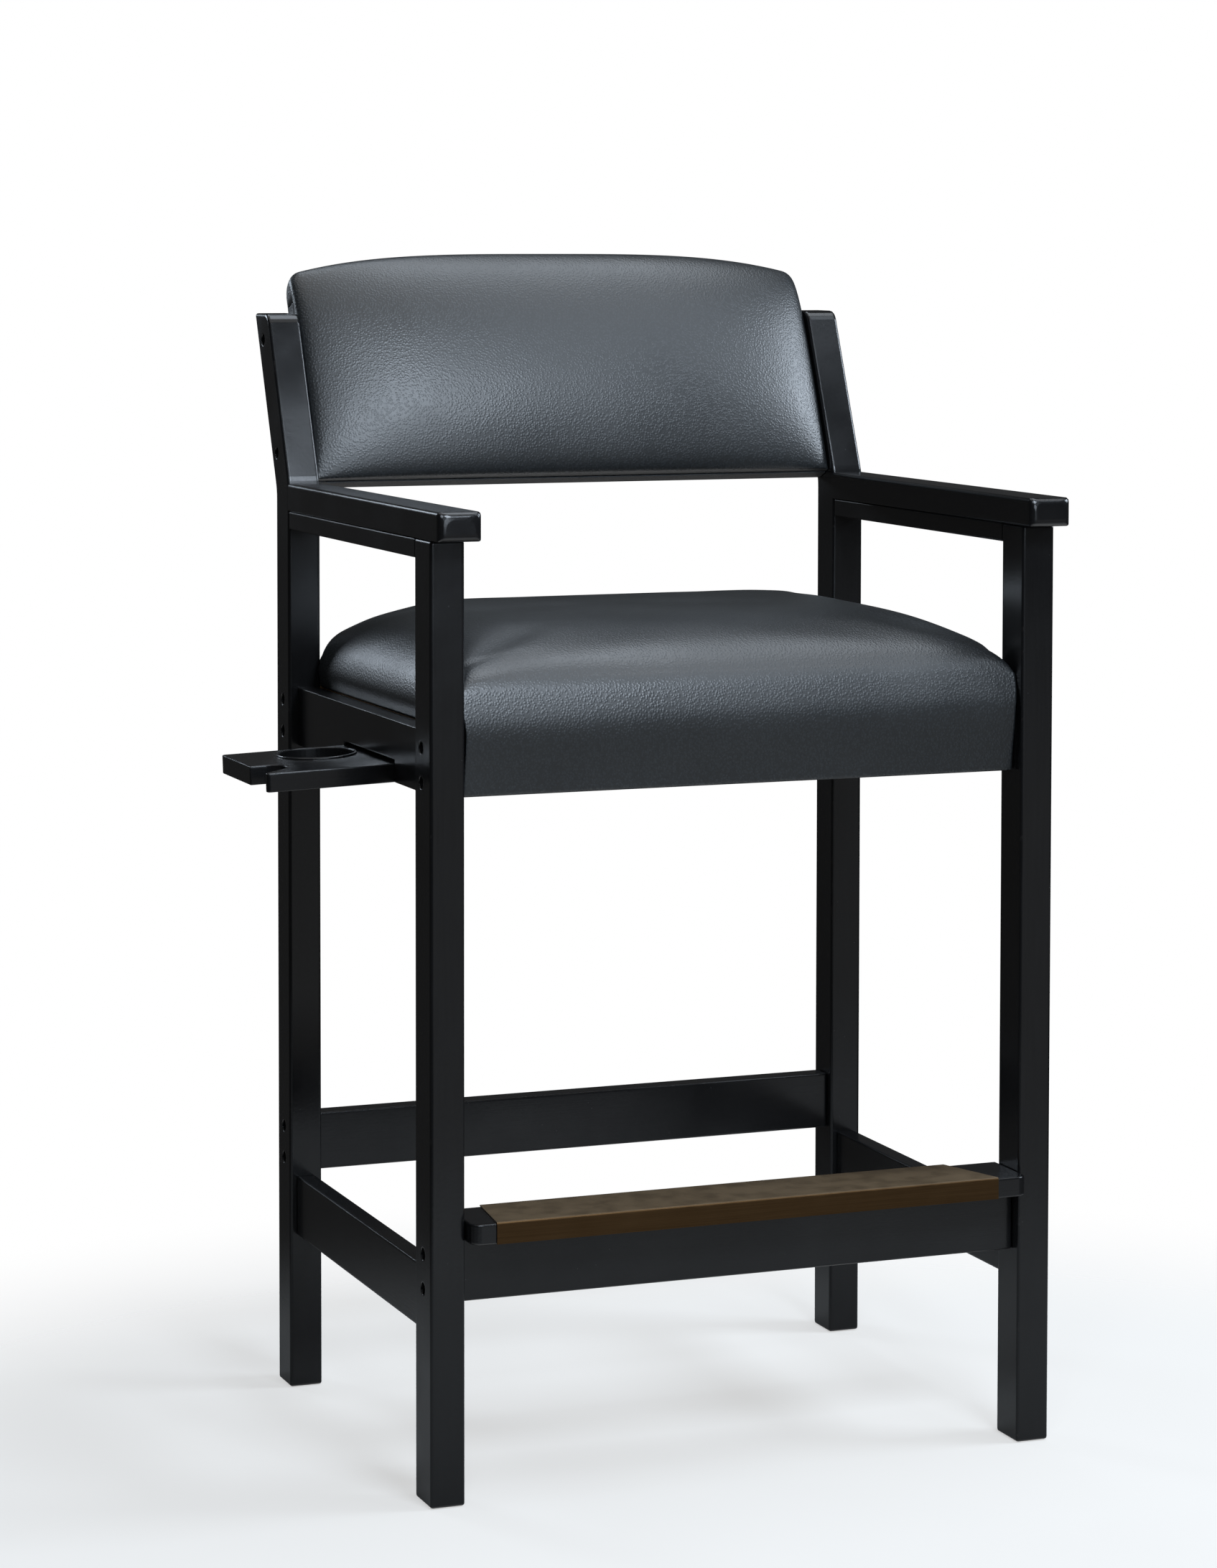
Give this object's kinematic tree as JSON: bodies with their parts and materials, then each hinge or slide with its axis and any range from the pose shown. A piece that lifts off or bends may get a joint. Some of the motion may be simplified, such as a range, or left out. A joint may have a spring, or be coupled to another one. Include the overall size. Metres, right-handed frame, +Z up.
{
  "type": "spectator chair",
  "caption": "Tall spectator chair with padded seat and leaning padded back, arms, metal-faced footrest, and a slide-out side tray with cup recess and cue notch.",
  "frame": {"origin": "bottom centre of the box round the chair with its tray out, on the floor", "axes": "+Z up, the chair faces -Y, the tray comes out towards -X"},
  "size_m": [0.734, 0.5882, 1.1266],
  "materials": {
    "black_lacquer": "semi-gloss black lacquer on solid wood",
    "bare_wood": "unfinished wood inside the seat",
    "black_vinyl": "pebble-grained black vinyl over padding",
    "bronze_plate": "satin dark bronze sheet",
    "black_plastic": "black moulded plastic",
    "black_steel": "black oxide steel"
  },
  "bodies": {
    "chair_frame": {"arm_cap_left": "black_lacquer", "arm_cap_right": "black_lacquer", "arm_rail_left": "black_lacquer", "arm_rail_right": "black_lacquer", "back_board": "black_vinyl", "back_cushion": "black_vinyl", "bolt_back_board_left_lower": "black_steel", "bolt_back_board_left_upper": "black_steel", "bolt_back_board_right_lower": "black_steel", "bolt_back_board_right_upper": "black_steel", "bolt_front_rail_left_lower": "black_steel", "bolt_front_rail_left_upper": "black_steel", "bolt_front_rail_right_lower": "black_steel", "bolt_front_rail_right_upper": "black_steel", "bolt_front_stretcher_left_lower": "black_steel", "bolt_front_stretcher_left_upper": "black_steel", "bolt_front_stretcher_right_lower": "black_steel", "bolt_front_stretcher_right_upper": "black_steel", "bolt_rear_rail_left_lower": "black_steel", "bolt_rear_rail_left_upper": "black_steel", "bolt_rear_rail_right_lower": "black_steel", "bolt_rear_rail_right_upper": "black_steel", "bolt_rear_stretcher_left_lower": "black_steel", "bolt_rear_stretcher_left_upper": "black_steel", "bolt_rear_stretcher_right_lower": "black_steel", "bolt_rear_stretcher_right_upper": "black_steel", "corner_block_front_left": "bare_wood", "corner_block_front_right": "bare_wood", "corner_block_rear_left": "bare_wood", "corner_block_rear_right": "bare_wood", "footrest_board": "black_lacquer", "footrest_plate": "bronze_plate", "front_leg_left": "black_lacquer", "front_leg_right": "black_lacquer", "glide_front_left": "black_plastic", "glide_front_right": "black_plastic", "glide_rear_left": "black_plastic", "glide_rear_right": "black_plastic", "rear_post_left": "black_lacquer", "rear_post_right": "black_lacquer", "seat_cushion": "black_vinyl", "seat_deck": "bare_wood", "seat_rail_front": "black_lacquer", "seat_rail_left": "black_lacquer", "seat_rail_rear": "black_lacquer", "seat_rail_right": "black_lacquer", "stretcher_front": "black_lacquer", "stretcher_left": "black_lacquer", "stretcher_rear": "black_lacquer", "stretcher_right": "black_lacquer", "tray_inner_stop": "bare_wood", "tray_runner_front": "bare_wood", "tray_runner_rear": "bare_wood"},
    "tray": {"tray_board": "black_lacquer", "cup_insert": "black_plastic", "tray_stop": "bare_wood"}
  },
  "joints": [
    {"name": "tray_slide", "type": "slide", "parent": "chair_frame", "child": "tray", "axis": [0.9994, 0, 0.0349], "range_m": [0, 0.1215]}
  ]
}
